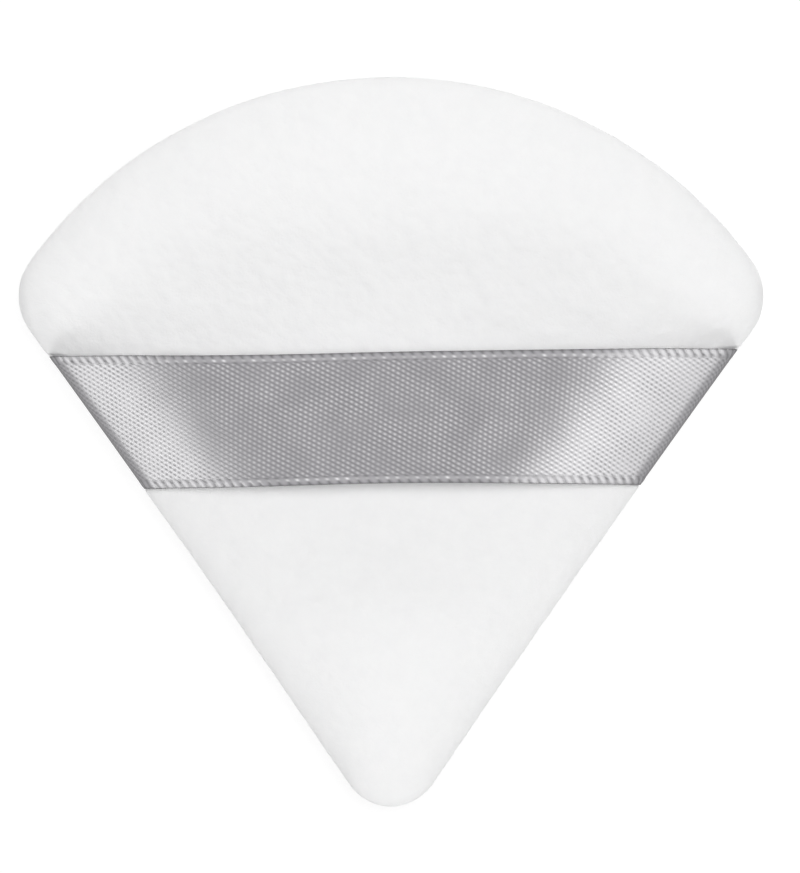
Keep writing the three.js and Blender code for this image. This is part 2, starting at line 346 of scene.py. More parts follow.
def rim_order(cells):
    """The points on the edge of that square, as positions in its flattened grid, in order."""
    index = np.arange((cells + 1) ** 2).reshape(cells + 1, cells + 1)
    sides = [index[:-1, 0], index[-1, :-1], index[:0:-1, -1], index[0, :0:-1]]
    return np.concatenate(sides)


def crown_profile(out, base, height):
    """Share of the outline's size and height of the crown, from its middle at 0 to the rim at 1.
    The crown follows share^4 + rise^2 = 1, and the steps are even along that curve."""
    turn = np.linspace(np.pi / 2, 0, 800)
    share = np.sqrt(np.maximum(np.cos(turn), 0))
    rise = base + (height - base) * np.sin(turn)
    reach = PAD_LENGTH / 2 - MIDDLE[1]
    steps = np.hypot(np.diff(share) * reach, np.diff(rise))
    along = np.concatenate([[0], np.cumsum(steps)])
    return np.interp(out, along / along[-1], share), np.interp(out, along / along[-1], rise)


def crown_grid(cells, base, height):
    """A crowned panel over the seam plane: nested squares become nested copies of the outline,
    each shrunk towards the middle of the fan and lifted by the crown's profile."""
    out, round_it = square_grid(cells)
    share, rise = crown_profile(out, base, height)
    flat = MIDDLE + share[..., None] * (outline_at(round_it) - MIDDLE)
    return np.concatenate([flat, rise[..., None]], axis=-1)


def even_out(values, passes):
    """A grid of values smoothed by averaging each with its four neighbours, over and over."""
    for _ in range(passes):
        wide = np.pad(values, ((1, 1), (1, 1), (0, 0)), mode="edge")
        beside = wide[:-2, 1:-1] + wide[2:, 1:-1] + wide[1:-1, :-2] + wide[1:-1, 2:]
        values = values / 2 + beside / 8
    return values


def settle_padding(back, face):
    """The two panels as one closed cushion of cloth, held at the seam and blown up from inside:
    returns how far each point of each panel has moved, evened out as the pile hides creases."""
    count = len(back) ** 2
    cells = len(back) - 1
    points = np.concatenate([back.reshape(-1, 3), face.reshape(-1, 3)])
    upper, lower = rim_order(cells), rim_order(cells) + count
    wall = np.stack([lower, np.roll(lower, -1), np.roll(upper, -1), upper], axis=1)
    sheets = grid_faces(cells + 1, cells + 1)
    faces = [sheets[:, ::-1], sheets + count, wall]
    cushion = add_piece("settling_cushion", points * SETTLE_SCALE, *faces)
    held = cushion.vertex_groups.new(name="seam")
    held.add(np.concatenate([upper, lower]).tolist(), 1.0, "REPLACE")
    cloth = cushion.modifiers.new("cloth", "CLOTH")
    rules = cloth.settings
    rules.quality = 6
    rules.mass = 0.3
    rules.tension_stiffness = 40
    rules.compression_stiffness = 40
    rules.shear_stiffness = 20
    rules.bending_stiffness = 12
    rules.use_pressure = True
    rules.uniform_pressure_force = 3
    rules.vertex_group_mass = "seam"
    rules.effector_weights.gravity = 0
    cloth.collision_settings.use_collision = False
    cloth.point_cache.frame_start = 1
    cloth.point_cache.frame_end = SETTLE_FRAMES
    for step in range(1, SETTLE_FRAMES + 1):
        scene.frame_set(step)
    settled = cushion.evaluated_get(bpy.context.evaluated_depsgraph_get()).data
    flat = np.zeros(len(points) * 3, np.float32)
    settled.vertices.foreach_get("co", flat)
    moved = flat.reshape(-1, 3) / (MM * SETTLE_SCALE) - points
    scene.frame_set(1)
    mesh = cushion.data
    bpy.data.objects.remove(cushion)
    bpy.data.meshes.remove(mesh)
    length = np.linalg.norm(moved, axis=1, keepdims=True)
    limit = np.repeat([SETTLE_LIMIT_BACK, SETTLE_LIMIT_FACE], count)[:, None]
    moved *= limit * np.tanh(length / limit) / np.maximum(length, 1e-9)
    held_still = 1 - smoothstep(SETTLE_HOLD, 1.0, square_grid(cells)[0])[..., None]
    halves = moved[:count].reshape(back.shape), moved[count:].reshape(face.shape)
    return [even_out(half * held_still, SETTLE_PASSES) for half in halves]


def refine(values, cells):
    """A coarse grid of values read at a finer grid's points: the cubic through four neighbours
    (Catmull-Rom), first down the rows and then along them."""
    for axis in (0, 1):
        values = np.moveaxis(values, axis, 0)
        last = len(values) - 1
        place = np.linspace(0, last, cells + 1)
        left = np.minimum(place.astype(int), last - 1)
        t = (place - left)[:, None, None]
        a, b, c, d = (values[np.clip(left + k, 0, last)] for k in (-1, 0, 1, 2))
        bend = 0.5 * (2 * b + (c - a) * t + (2 * a - 5 * b + 4 * c - d) * t**2
                      + (3 * b - a - 3 * c + d) * t**3)
        values = np.moveaxis(bend, 0, axis)
    return values


def grid_normals(points):
    """Unit normals of a grid: the cross product of its two directions."""
    along, across = np.gradient(points, axis=(0, 1))
    normals = np.cross(along, across)
    return normals / np.maximum(np.linalg.norm(normals, axis=-1, keepdims=True), 1e-12)


def pile_height(points, seed):
    """Unevenness of the pile: three sizes of smooth noise, from lumps to tufts, added up."""
    layers = enumerate(PILE_LUMPS)
    return sum(depth * lattice_noise(points, cell, seed + k) for k, (cell, depth) in layers)


def sink_under_ribbon(points, side):
    """Presses the rim of the upper panel in square to the side where the ribbon goes round it,
    and lifts its turned-in edge over the ribbon's tail."""
    if side < 0:
        return points
    hold = under_ribbon(points)
    sideways = np.sign(points[..., 0]) * SIDE_NORMAL[0]
    outward = np.stack([sideways, np.full(hold.shape, SIDE_NORMAL[1])], axis=-1)
    points = points.copy()
    points[..., :2] -= (RIBBON_SINK * hold)[..., None] * outward
    points[..., 2] += hold * np.maximum(SEAM_HALF - TAIL_CLEARANCE - points[..., 2], 0)
    return points


def panel_crown(height, side, moved, seed):
    """The outer face of a panel, turned up (side 1) or down (side -1): the crown as settled, moved
    along its normals by the pile, which thins towards the rim, and pressed in by the ribbon."""
    crown = crown_grid(PANEL_CELLS, RIM_LEVEL, height)
    crown[..., 2] *= side
    crown += refine(moved, PANEL_CELLS)
    normals = grid_normals(crown)
    normals *= np.sign(normals[..., 2:].mean() * side)
    thinning = PILE_THINNING * smoothstep(PILE_THINS_FROM, 1.0, square_grid(PANEL_CELLS)[0])
    pile = pile_height(crown, seed) * (1 - thinning)
    return sink_under_ribbon(crown + normals * pile[..., None], side)


def panel_turning(at, side, seed):
    """Rings from the rim inwards: a quarter of an ellipse that rolls under to the seam, a lip, and
    the flat edge of the turned-in allowance, each with its share of the pile."""
    turn = np.linspace(0, np.pi / 2, ROLL_ROWS + 1)[1:]
    insets = ROLL_DEPTH * (1 - np.cos(turn))
    levels = RIM_LEVEL + (ROLL_END - RIM_LEVEL) * np.sin(turn)
    rows = [(inset, level, ROLL_PILE) for inset, level in zip(insets, levels)]
    rows += [(ROLL_DEPTH + LIP, SEAM_HALF, LIP_PILE), (ALLOWANCE, SEAM_HALF, 0.0)]
    rings = []
    for inset, level, share in rows:
        ring = at_level(outline_at(at, inset), level * side)
        ring += share * pile_height(ring, seed)[:, None] * np.array([0.5, 0.5, 1.0])
        rings.append(sink_under_ribbon(ring, side))
    return rings


def panel_lining(at, height, side):
    """Rings of the inner face: over the edge of the allowance, then from the rim up to near the
    middle, along a crown that lies the cloth's thickness inside the outer one."""
    base = SEAM_HALF + VELOUR
    inner = outline_at(at, VELOUR)
    rings = [at_level(outline_at(at, ALLOWANCE), side * base)]
    steps = np.linspace(1, 0, LINING_ROWS + 1)[:-1]
    for share, rise in zip(*crown_profile(steps, base, height - VELOUR)):
        rings.append(at_level(MIDDLE + share * (inner - MIDDLE), side * rise))
    return rings


def velour_panel(name, height, side, moved, seed):
    """One sewn panel: its crown, the rings that turn in from its rim, and a lining that closes it
    with a quarter of the points round, up to a pole in the middle. The lower panel is pressed flat
    on the table by the smooth maximum ln(1 + e^z) of its height and zero."""
    crown = panel_crown(height, side, moved, seed)
    edge = rim_order(PANEL_CELLS)
    at = square_grid(PANEL_CELLS)[1].ravel()[edge]
    rings = panel_turning(at, side, seed)
    lining = panel_lining(at[::LINING_STEP], height, side)
    pole = np.array([[*MIDDLE, side * (height - VELOUR)]])
    points = np.concatenate([crown.reshape(-1, 3), *rings, *lining, pole])
    points[:, 2] += SEAM_Z
    if side < 0:
        z = points[:, 2]
        points[:, 2] = FLAT_EASE * np.logaddexp(0, z / FLAT_EASE) * smoothstep(*FLAT_RANGE, z)
    start, count = crown[..., 0].size, len(at)
    loops = np.concatenate([edge[None], start + np.arange(len(rings) * count).reshape(-1, count)])
    turned = [loops[:-1], loops[1:], np.roll(loops[1:], -1, 1), np.roll(loops[:-1], -1, 1)]
    strip = np.stack(turned, axis=-1).reshape(-1, 4)
    dome = grid_faces(PANEL_CELLS + 1, PANEL_CELLS + 1)[:, ::-1]
    first, few = start + len(rings) * count, count // LINING_STEP
    inside = grid_faces(len(lining), few, wrap=True, first=first)[:, ::-1]
    fine = loops[-1].reshape(few, LINING_STEP)
    after = np.roll(fine[:, 0], -1)
    fine = np.column_stack([fine, after])
    ring = first + np.arange(few)
    fans = [np.stack([fine[:, k], ring, fine[:, k + 1]], axis=1) for k in range(LINING_STEP)]
    fans.append(np.stack([after, ring, np.roll(ring, -1)], axis=1))
    cap = ring_to_pole(ring + (len(lining) - 1) * few, len(points) - 1)[:, ::-1]
    quads = np.concatenate([dome, strip, inside])
    triangles = np.concatenate([*fans, cap])
    if side < 0:
        quads, triangles = quads[:, ::-1], triangles[:, ::-1]
    return add_piece(name, points, quads, triangles)


seed_back = crown_grid(SETTLE_CELLS, RIM_LEVEL, BACK_CROWN)
seed_face = crown_grid(SETTLE_CELLS, RIM_LEVEL, FACE_CROWN) * np.array([1.0, 1.0, -1.0])
moved_back, moved_face = settle_padding(seed_back, seed_face)
velour_back = velour_panel("velour_back", BACK_CROWN, 1, moved_back, 11)
velour_face = velour_panel("velour_face", FACE_CROWN, -1, moved_face, 29)


def foam_half(height, side, around, rows):
    """Rings of the foam, from its edge to near its middle, just inside a panel's lining."""
    at = np.arange(around) / around
    inner = outline_at(at, VELOUR)
    edge_share = 1 - (ALLOWANCE + FIT_GAP - VELOUR) / (PAD_LENGTH / 2 - MIDDLE[1] - VELOUR)
    base = SEAM_HALF + VELOUR
    turn = np.linspace(np.arccos(edge_share**2), np.pi / 2, rows + 1)[:-1]
    rings = []
    for a in turn:
        flat = MIDDLE + np.sqrt(np.cos(a)) * (inner - MIDDLE)
        rise = base + (height - VELOUR - base) * np.sin(a) - FOAM_GAP
        rings.append(at_level(flat, side * rise))
    return rings, np.array([*MIDDLE, side * (height - VELOUR - FOAM_GAP)])


def foam_filling(name, around=240, rows=24):
    """The foam core: both halves' rings stacked from the lower middle to the upper one, with a
    pole at each end, and slightly pitted by noise."""
    upper, top = foam_half(BACK_CROWN, 1, around, rows)
    lower, bottom = foam_half(FACE_CROWN, -1, around, rows)
    rings = np.array(lower[::-1] + upper)
    pits = FOAM_PITS * lattice_noise(rings, FOAM_CELL, 5)
    rings += pits[..., None] * np.array([0.3, 0.3, 1.0])
    points = np.concatenate([rings.reshape(-1, 3), [bottom], [top]])
    points[:, 2] += SEAM_Z
    points[:, 2] = np.maximum(points[:, 2], VELOUR + FOAM_GAP)
    quads = grid_faces(len(rings), around, wrap=True)
    ring = np.arange(around)
    low = ring_to_pole(ring, len(points) - 2)[:, ::-1]
    high = ring_to_pole(len(points) - 2 - around + ring, len(points) - 1)
    return add_piece(name, points, quads, np.concatenate([low, high]))


foam = foam_filling("foam_filling")


# Ribbon

RUN_STEP = 0.085
SATIN_COLUMNS = 44
SELVEDGE_COLUMNS = 16
CORD_BORDER = 0.15
CORD_STARTS = (-0.3, 0.5)
TAIL_ROWS = 14
RIBBON_INSET = 0.1
TURN_RADIUS = 0.35
WALL_SHARE = 0.25
WALL_EASE = 0.21
LEVEL_RUN = 30.0
RAMP_FROM = 0.8
RAMP_POWER = 6
# Painted shade on the ribbon where it turns down into the seam, darkest at the seam
RIM_SHADE = 0.8
RIM_FROM = 1.0
RIM_RUN = 3.6
LEVEL_RANGE = (0.86, 0.985)
CORD_ROUGHNESS = 0.1
LIFT_SLOPE = 0.36
LIFT_MARGIN = 0.4


def strap_side_view():
    """Side view of the ribbon, square to the seam: its tail inside the seam, a quarter turn out
    and up, a quick rise up the rim that fades as an exponential, and on top of it a ramp that
    bends over into a parabola to the level middle. Returns distance from the seam, height, the
    length along the ribbon, which crosses the seam at a slant, and where the turn and the rise
    start."""
    tail = np.linspace(RIBBON_TAIL, TURN_RADIUS + RIBBON_INSET, 40)[:-1]
    a = np.linspace(0, np.pi / 2, 30)
    share = np.cos(np.linspace(0, np.pi / 2, 900)) ** 2
    rise = BACK_CROWN + FINGER_GAP - RIM_LEVEL + RIBBON_THICKNESS / 2
    wall = 1 - np.exp((share - 1) * (STRAP_RUN - RIBBON_INSET) / WALL_EASE)
    slope = share / (1 + (share / RAMP_FROM) ** RAMP_POWER) ** (1 / RAMP_POWER)
    climb = np.cumsum(np.concatenate([[0], (slope[1:] + slope[:-1]) * (share[:-1] - share[1:])]))
    level = WALL_SHARE * wall + (1 - WALL_SHARE) * climb / climb[-1]
    flat = np.linspace(STRAP_RUN, STRAP_RUN + LEVEL_RUN, 60)[1:]
    distance = np.concatenate([
        tail,
        RIBBON_INSET + TURN_RADIUS * (1 - np.sin(a)),
        STRAP_RUN - share * (STRAP_RUN - RIBBON_INSET),
        flat,
    ])
    height = np.concatenate([
        np.full(len(tail), TAIL_LEVEL),
        TAIL_LEVEL + TURN_RADIUS * (1 - np.cos(a)),
        RIM_LEVEL + rise * level,
        np.full(len(flat), RIM_LEVEL + rise),
    ])
    steps = np.hypot(np.diff(distance) / SIDE_NORMAL[0], np.diff(height))
    along = np.concatenate([[0], np.cumsum(steps)])
    return distance, height, along, len(tail), len(tail) + len(a)


STRAP_DISTANCE, STRAP_HEIGHT, STRAP_ALONG, TURN_AT, RISE_AT = strap_side_view()
RIM_STATION = STRAP_ALONG[TURN_AT]


def station_at(distance):
    """Length along the ribbon, from the end of its tail to a distance up its rise."""
    return np.interp(distance, STRAP_DISTANCE[RISE_AT:], STRAP_ALONG[RISE_AT:])


def half_length(across):
    """Length of one row of the ribbon, from the end of its tail to the middle of the strap."""
    return station_at(SIDE_REACH - SIDE_NORMAL[1] * (RIBBON_OFFSET + across))


def selvedge_cord(along, across):
    """The corded edges of the ribbon: slanting loops, each a paraboloid, with a gap between
    neighbours and, at the inner end of every gap, a bead exp(-r^2) whose strength is drawn from
    noise. Returns the height; the shade as a share of the satin's, which is painted light on the
    crest of each loop and painted shade in the gaps and at the very edge; and where the satin and
    the beads lie, from 0 to 1."""
    edge = RIBBON_WIDTH / 2 - np.abs(across)
    turn = along / LOOP_PITCH - LOOP_LEAN * np.sign(across) * edge / SELVEDGE
    gap = np.round(turn)
    loop = turn - np.floor(turn) - 0.5
    body = np.maximum(1 - (loop / 0.5) ** 2 - ((edge - LOOP_AT) / LOOP_REACH) ** 2, 0)
    long, wide = BEAD_SIZE
    place = ((turn - gap) * LOOP_PITCH / long) ** 2 + ((edge - BEAD_AT) / wide) ** 2
    which = np.stack([gap, np.sign(across), np.zeros_like(gap)], axis=-1)
    strength = BEAD_STRENGTH + BEAD_SPREAD * lattice_noise(which, 1.0, 7)
    bead = np.exp(-place) * np.clip(strength, 0, 1)
    satin = smoothstep(*SATIN_RANGE, edge)
    height = (LOOP_HEIGHT * body - LOOP_GAP) * (1 - satin) + BEAD_HEIGHT * bead
    # Painted light on each loop's crest and painted shade in its gaps
    shade = 1 + (1 - satin) * (LOOP_LIGHT * body - LOOP_SHADE)
    # Painted shade towards the very edge
    shade *= EDGE_SHADE + (1 - EDGE_SHADE) * smoothstep(0.0, EDGE_BLEND, edge)
    return height, shade, satin, bead


def strap_surface(along, across, face):
    """Points of the strap at a length along it from its middle, right positive, and a place
    across it. The side view gives distance and height, the slanted side of the pad turns the
    distance into X, and the ribbon keeps to its plan. Face is 1 on the woven face and 0 on
    the smooth back, and only the face carries the corded edges."""
    side = np.where(along < 0, -1.0, 1.0)
    station = half_length(across) - np.abs(along)
    distance = np.interp(station, STRAP_ALONG, STRAP_DISTANCE)
    height = np.interp(station, STRAP_ALONG, STRAP_HEIGHT)
    x = side * inside_right(distance, RIBBON_OFFSET + across)
    line, width = ribbon_plan(x)
    y = line + across * width
    at_side = side * inside_right(distance + side_draw(y), y)
    x += (at_side - x) * (1 - smoothstep(0, STRAP_RUN, distance))
    run = np.interp(station, STRAP_ALONG, np.gradient(STRAP_DISTANCE, STRAP_ALONG))
    rise = np.interp(station, STRAP_ALONG, np.gradient(STRAP_HEIGHT, STRAP_ALONG))
    out, up = rise / np.hypot(run, rise), run / np.hypot(run, rise)
    normal = np.stack([side * out * SIDE_NORMAL[0], out * SIDE_NORMAL[1], up], axis=-1)
    shown = smoothstep(*CORD_STARTS, station - RIM_STATION)
    cord = selvedge_cord(along, across)[0] * face * shown
    lift = (face - 0.5) * RIBBON_THICKNESS + cord
    points = np.stack([x, y, height], axis=-1) + normal * lift[..., None]
    points[..., 2] += SEAM_Z
    return points


def ribbon_run(name, along, across, face):
    """One run of the strap on a grid: rows are stations along it, and columns go round its
    section, over the woven face and back under it. A spare row past each end gives normals that
    carry on into the next run, and rungs from face to back close each end. Attributes carry the
    painted shade, the satin, the beads, what is matt, and how level the ribbon lies."""
    spare = np.concatenate([2 * along[:1] - along[1:2], along, 2 * along[-1:] - along[-2:-1]])
    points = strap_surface(spare, np.broadcast_to(across, spare.shape), face)
    ring = np.concatenate([points[:, -1:], points, points[:, :1]], axis=1)
    normals = np.cross(ring[2:, 1:-1] - ring[:-2, 1:-1], ring[1:-1, 2:] - ring[1:-1, :-2])
    normals /= np.maximum(np.linalg.norm(normals, axis=-1, keepdims=True), 1e-12)
    points = points[1:-1]
    rows, columns = along.shape
    quads = grid_faces(rows, columns, wrap=True)[:, ::-1]
    j = np.arange(columns // 2)
    rungs = [np.stack([j, j + 1, columns - 1 - j], axis=1)[:-1],
             np.stack([j, columns - 1 - j, columns - j], axis=1)[1:]]
    near = np.concatenate(rungs)
    far = near[:, ::-1] + (rows - 1) * columns
    piece = add_piece(name, points.reshape(-1, 3), quads, near, far)
    spread = np.broadcast_to(across, along.shape)
    _, shade, satin, bead = selvedge_cord(along, spread)
    station = half_length(spread) - np.abs(along)
    up = station - RIM_STATION
    # Painted shade where the ribbon turns down into the seam
    shade *= 1 - RIM_SHADE * (1 - smoothstep(RIM_FROM, RIM_RUN, up))
    level = np.interp(station, STRAP_ALONG, np.abs(np.gradient(STRAP_DISTANCE, STRAP_ALONG)))
    level = smoothstep(*LEVEL_RANGE, level / level.max())
    add_attribute(piece, "shade", np.where(face > 0, shade, 1))
    add_attribute(piece, "satin", satin)
    add_attribute(piece, "bead", bead * (face > 0))
    add_attribute(piece, "matt", np.maximum(bead * (face > 0), CORD_ROUGHNESS * (1 - satin)))
    add_attribute(piece, "level", level)
    add_uv(piece, "weave", along, spread)
    outward = (points[[0, -1]] - points[[1, -2]]).mean(axis=1)
    outward /= np.linalg.norm(outward, axis=1, keepdims=True)
    corners = normals.reshape(-1, 3)[quads.ravel()]
    ends = np.repeat(outward, 3 * len(near), axis=0)
    piece.data.normals_split_custom_set(np.concatenate([corners, ends]))
    return piece


def ribbon_strap():
    """The strap as its sewn left end, its middle that lifts, and its sewn right end. The ends
    run from the fold line round the rim into the seam, and rows of the middle are spread evenly
    from one fold line to the other."""
    half = RIBBON_WIDTH / 2
    border = SELVEDGE + CORD_BORDER
    cord = np.linspace(-half, border - half, SELVEDGE_COLUMNS + 1)[:-1]
    satin = np.linspace(border - half, half - border, SATIN_COLUMNS + 1)
    over = np.concatenate([cord, satin, -cord[::-1]])
    across = np.concatenate([over, over[-2:0:-1]])
    face = np.concatenate([np.ones(len(over)), np.zeros(len(over) - 2)])
    whole = half_length(across)
    fold = whole - station_at(FOLD_INSET)
    rim = whole - RIM_STATION
    rows = int((rim - fold).mean() / RUN_STEP)
    shown = fold + np.linspace(0, 1, rows + 1)[:, None] * (rim - fold)
    hidden = rim + np.linspace(0, 1, TAIL_ROWS + 1)[1:, None] * RIM_STATION
    right = np.concatenate([shown, hidden])
    steps = int(2 * fold.mean() / RUN_STEP)
    middle = np.linspace(-1, 1, steps + 1)[:, None] * fold
    left = ribbon_run("ribbon_left_run", -right[::-1], across, face)
    crown = ribbon_run("ribbon_middle_run", middle, across, face)
    return left, crown, ribbon_run("ribbon_right_run", right, across, face)


ribbon_left, ribbon_middle, ribbon_right = ribbon_strap()


# Thread

STITCH_LENGTH = 2.4
STITCH_DIP = 0.04
CLOSING_SWING = 0.17
PLY_DEPTH = 0.2


def twisted_thread(name, path, sides=10, plies=2, lay=0.9):
    """A thread along a path: a round section with one lobe for each ply, turned by a full turn
    per lay length, on a frame square to the path."""
    step = np.gradient(path, axis=0)
    step /= np.linalg.norm(step, axis=1, keepdims=True)
    aside = np.cross(step, np.array([0.0, 0.0, 1.0]))
    aside /= np.maximum(np.linalg.norm(aside, axis=1, keepdims=True), 1e-9)
    up = np.cross(aside, step)
    travelled = np.concatenate([[0], np.cumsum(np.linalg.norm(np.diff(path, axis=0), axis=1))])
    angle = np.arange(sides) / sides * 2 * np.pi
    twist = travelled[:, None] / lay * 2 * np.pi
    radius = THREAD_RADIUS * (1 - PLY_DEPTH + PLY_DEPTH * np.cos(plies * (angle + twist)))
    section = aside[:, None] * np.cos(angle)[:, None] + up[:, None] * np.sin(angle)[:, None]
    points = path[:, None] + section * radius[..., None]
    flat = np.concatenate([points.reshape(-1, 3), path[:1], path[-1:]])
    flat[:, 2] += SEAM_Z
    ring = np.arange(sides)
    near = ring_to_pole(ring, len(flat) - 2)[:, ::-1]
    far = ring_to_pole((len(path) - 1) * sides + ring, len(flat) - 1)
    quads = grid_faces(len(path), sides, wrap=True)
    return add_piece(name, flat, quads, np.concatenate([near, far]))


def seam_path(count=1500):
    """The machine seam round the edge, but for the gap that is sewn by hand."""
    start = PERIMETER_START + CLOSING_LENGTH
    travelled = np.linspace(start, PERIMETER + PERIMETER_START, count)
    flat = outline_at(np.mod(travelled / PERIMETER, 1), SEAM_INSET)
    dip = STITCH_DIP * np.sin(2 * np.pi * travelled / STITCH_LENGTH)
    return at_level(flat, THREAD_LEVEL + dip)


def closing_path(count=400):
    """Hand stitches along the gap, swinging from one turned-in edge to the other."""
    t = np.linspace(0, 1, count)
    flat = outline_at((PERIMETER_START + t * CLOSING_LENGTH) / PERIMETER, CLOSING_INSET)
    return at_level(flat, CLOSING_SWING * np.sin(2 * np.pi * CLOSING_STITCHES * t))


def tack_path(side, count=200):
    """Zigzag tack across a ribbon tail, under it and along the seam."""
    t = np.linspace(0, 1, count)
    y = RIBBON_OFFSET + (RIBBON_WIDTH / 2 - TACK_MARGIN) * (2 * t - 1)
    distance = TACK_INSET + TACK_SWING * np.sin(2 * np.pi * TACK_STITCHES * t)
    x = side * inside_right(distance, y)
    return at_level(np.stack([x, y], axis=1), THREAD_LEVEL)


TIP_ARC = TIP_RADIUS * (SIDE_ANGLE + np.pi / 2)
PERIMETER_START = TIP_ARC + CLOSING_START
seam_thread = twisted_thread("seam_thread", seam_path())
closing_stitches = twisted_thread("closing_stitches", closing_path())
left_tack = twisted_thread("left_tack", tack_path(-1))
right_tack = twisted_thread("right_tack", tack_path(1))


# Materials

# Scale of the patches that each mark of the weave is weaker or stronger in, its least strength
# and its most
WEAVE_PATCHES = {
    "Dots": (300.0, 0.5, 1.0),
    "Gaps": (260.0, 0.34, 0.54),
    "Valleys": (220.0, 0.2, 0.34),
}
PATCH_RANGE = (0.3, 0.7)
SHIFT_SCALE = 700.0
VALLEY_RANGE = (0.15, 0.5)
VALLEYS_FADE = (0.3, 1.0)
VALLEYS_ON_SLOPE = 0.08
DOTS_ON_SLOPE = 0.3
# Painted shade: the dark colour laid in the valleys between the warp rows
VALLEY_PAINTED_SHADE = (0.04, 0.039, 0.042)
# Painted shadow: the dark colour laid in the gaps between floats where the ribbon slopes
GAP_PAINTED_SHADOW = (0.03, 0.029, 0.031)
# Pale weft dots with a painted glint, full where the ribbon lies level and weaker on the slopes
DOT_AND_GLINT_COLOUR = (0.6, 0.59, 0.61)
# Pale beads with a painted glint where the ribbon lies level, and painted shade on them where it
# slopes
BEAD_AND_GLINT_COLOUR = (0.8, 0.79, 0.81)
BEAD_SHADE_ON_SLOPE = (0.12, 0.118, 0.124)
SATIN_ROUGHNESS = (0.33, 0.75)
GLANCE_RANGE = (0.3, 0.7)


def math_node(tree, operation, first, second=None):
    """A Math node on one or two outputs, or on an output and a number. Gives its own output."""
    node = tree.nodes.new("ShaderNodeMath")
    node.operation = operation
    tree.links.new(first, node.inputs[0])
    if isinstance(second, float):
        node.inputs[1].default_value = second
    elif second is not None:
        tree.links.new(second, node.inputs[1])
    return node.outputs["Value"]


def map_range(tree, value, source=(0.0, 1.0), target=(0.0, 1.0), blend="LINEAR"):
    """A Map Range node, held to its limits, from one range to another. Gives its own output."""
    node = tree.nodes.new("ShaderNodeMapRange")
    node.interpolation_type = blend
    names = "From Min", "From Max", "To Min", "To Max"
    for name, limit in zip(names, (*source, *target)):
        node.inputs[name].default_value = limit
    tree.links.new(value, node.inputs["Value"])
    return node.outputs["Result"]


def weave_uv(tree):
    """The ribbon's own UV map, in metres along it and across it."""
    node = tree.nodes.new("ShaderNodeUVMap")
    node.uv_map = "weave"
    return node.outputs["UV"]


def fibre_group():
    """Fine fibres over soft lumps: two noises on the given coordinates, put out as a height for
    bump and as a slow mottle for colour."""
    group = bpy.data.node_groups.new("fibre_mottle", "ShaderNodeTree")
    group.interface.new_socket("Vector", in_out="INPUT", socket_type="NodeSocketVector")
    for name, value in (("Fibre Scale", 5000.0), ("Lump Scale", 900.0), ("Lumps", 0.5)):
        socket = group.interface.new_socket(name, in_out="INPUT", socket_type="NodeSocketFloat")
        socket.default_value = value
    group.interface.new_socket("Height", in_out="OUTPUT", socket_type="NodeSocketFloat")
    group.interface.new_socket("Mottle", in_out="OUTPUT", socket_type="NodeSocketFloat")
    source = group.nodes.new("NodeGroupInput")
    result = group.nodes.new("NodeGroupOutput")
    fibre = group.nodes.new("ShaderNodeTexNoise")
    fibre.inputs["Detail"].default_value = 2.0
    fibre.inputs["Roughness"].default_value = 0.6
    lumps = group.nodes.new("ShaderNodeTexNoise")
    lumps.inputs["Detail"].default_value = 3.0
    height = group.nodes.new("ShaderNodeMix")
    link = group.links.new
    link(source.outputs["Vector"], fibre.inputs["Vector"])
    link(source.outputs["Vector"], lumps.inputs["Vector"])
    link(source.outputs["Fibre Scale"], fibre.inputs["Scale"])
    link(source.outputs["Lump Scale"], lumps.inputs["Scale"])
    link(source.outputs["Lumps"], height.inputs["Factor"])
    link(fibre.outputs["Fac"], height.inputs["A"])
    link(lumps.outputs["Fac"], height.inputs["B"])
    link(height.outputs["Result"], result.inputs["Height"])
    link(lumps.outputs["Fac"], result.inputs["Mottle"])
    return group


FIBRE_MOTTLE = fibre_group()


def cloth_material(name, dark, light, fibre, lump, lumps, bump, stretch=None):
    """A fabric: two colours mixed by the mottle, with fibre bump, on Object coordinates or, where
    it is stretched, on the weave UV. Returns its nodes."""
    material = bpy.data.materials.new(name)
    material.use_nodes = True
    tree = material.node_tree
    surface = tree.nodes["Principled BSDF"]
    place = tree.nodes.new("ShaderNodeTexCoord")
    grain = tree.nodes.new("ShaderNodeGroup")
    grain.node_tree = FIBRE_MOTTLE
    grain.inputs["Fibre Scale"].default_value = fibre
    grain.inputs["Lump Scale"].default_value = lump
    grain.inputs["Lumps"].default_value = lumps
    tint = tree.nodes.new("ShaderNodeMix")
    tint.data_type = "RGBA"
    tint.inputs["A"].default_value = (*dark, 1.0)
    tint.inputs["B"].default_value = (*light, 1.0)
    relief = tree.nodes.new("ShaderNodeBump")
    relief.inputs["Strength"].default_value = 1.0
    relief.inputs["Distance"].default_value = bump
    link = tree.links.new
    if stretch is None:
        link(place.outputs["Object"], grain.inputs["Vector"])
    else:
        scale = tree.nodes.new("ShaderNodeMapping")
        scale.inputs["Scale"].default_value = stretch
        link(weave_uv(tree), scale.inputs["Vector"])
        link(scale.outputs["Vector"], grain.inputs["Vector"])
    link(grain.outputs["Mottle"], tint.inputs["Factor"])
    link(grain.outputs["Height"], relief.inputs["Height"])
    link(relief.outputs["Normal"], surface.inputs["Normal"])
    link(tint.outputs["Result"], surface.inputs["Base Color"])
    return material, tree, surface, tint


def velour_material():
    """White short pile: matte, with a soft sheen and a soft mottle."""
    material, _, surface, _ = cloth_material(
        "white_velour", dark=(0.875, 0.875, 0.88), light=(0.915, 0.915, 0.915),
        fibre=4200.0, lump=700.0, lumps=0.35, bump=0.00006)
    surface.inputs["Roughness"].default_value = 1.0
    surface.inputs["Specular IOR Level"].default_value = 0.1
    surface.inputs["Sheen Weight"].default_value = 0.5
    surface.inputs["Sheen Roughness"].default_value = 0.6
    return material


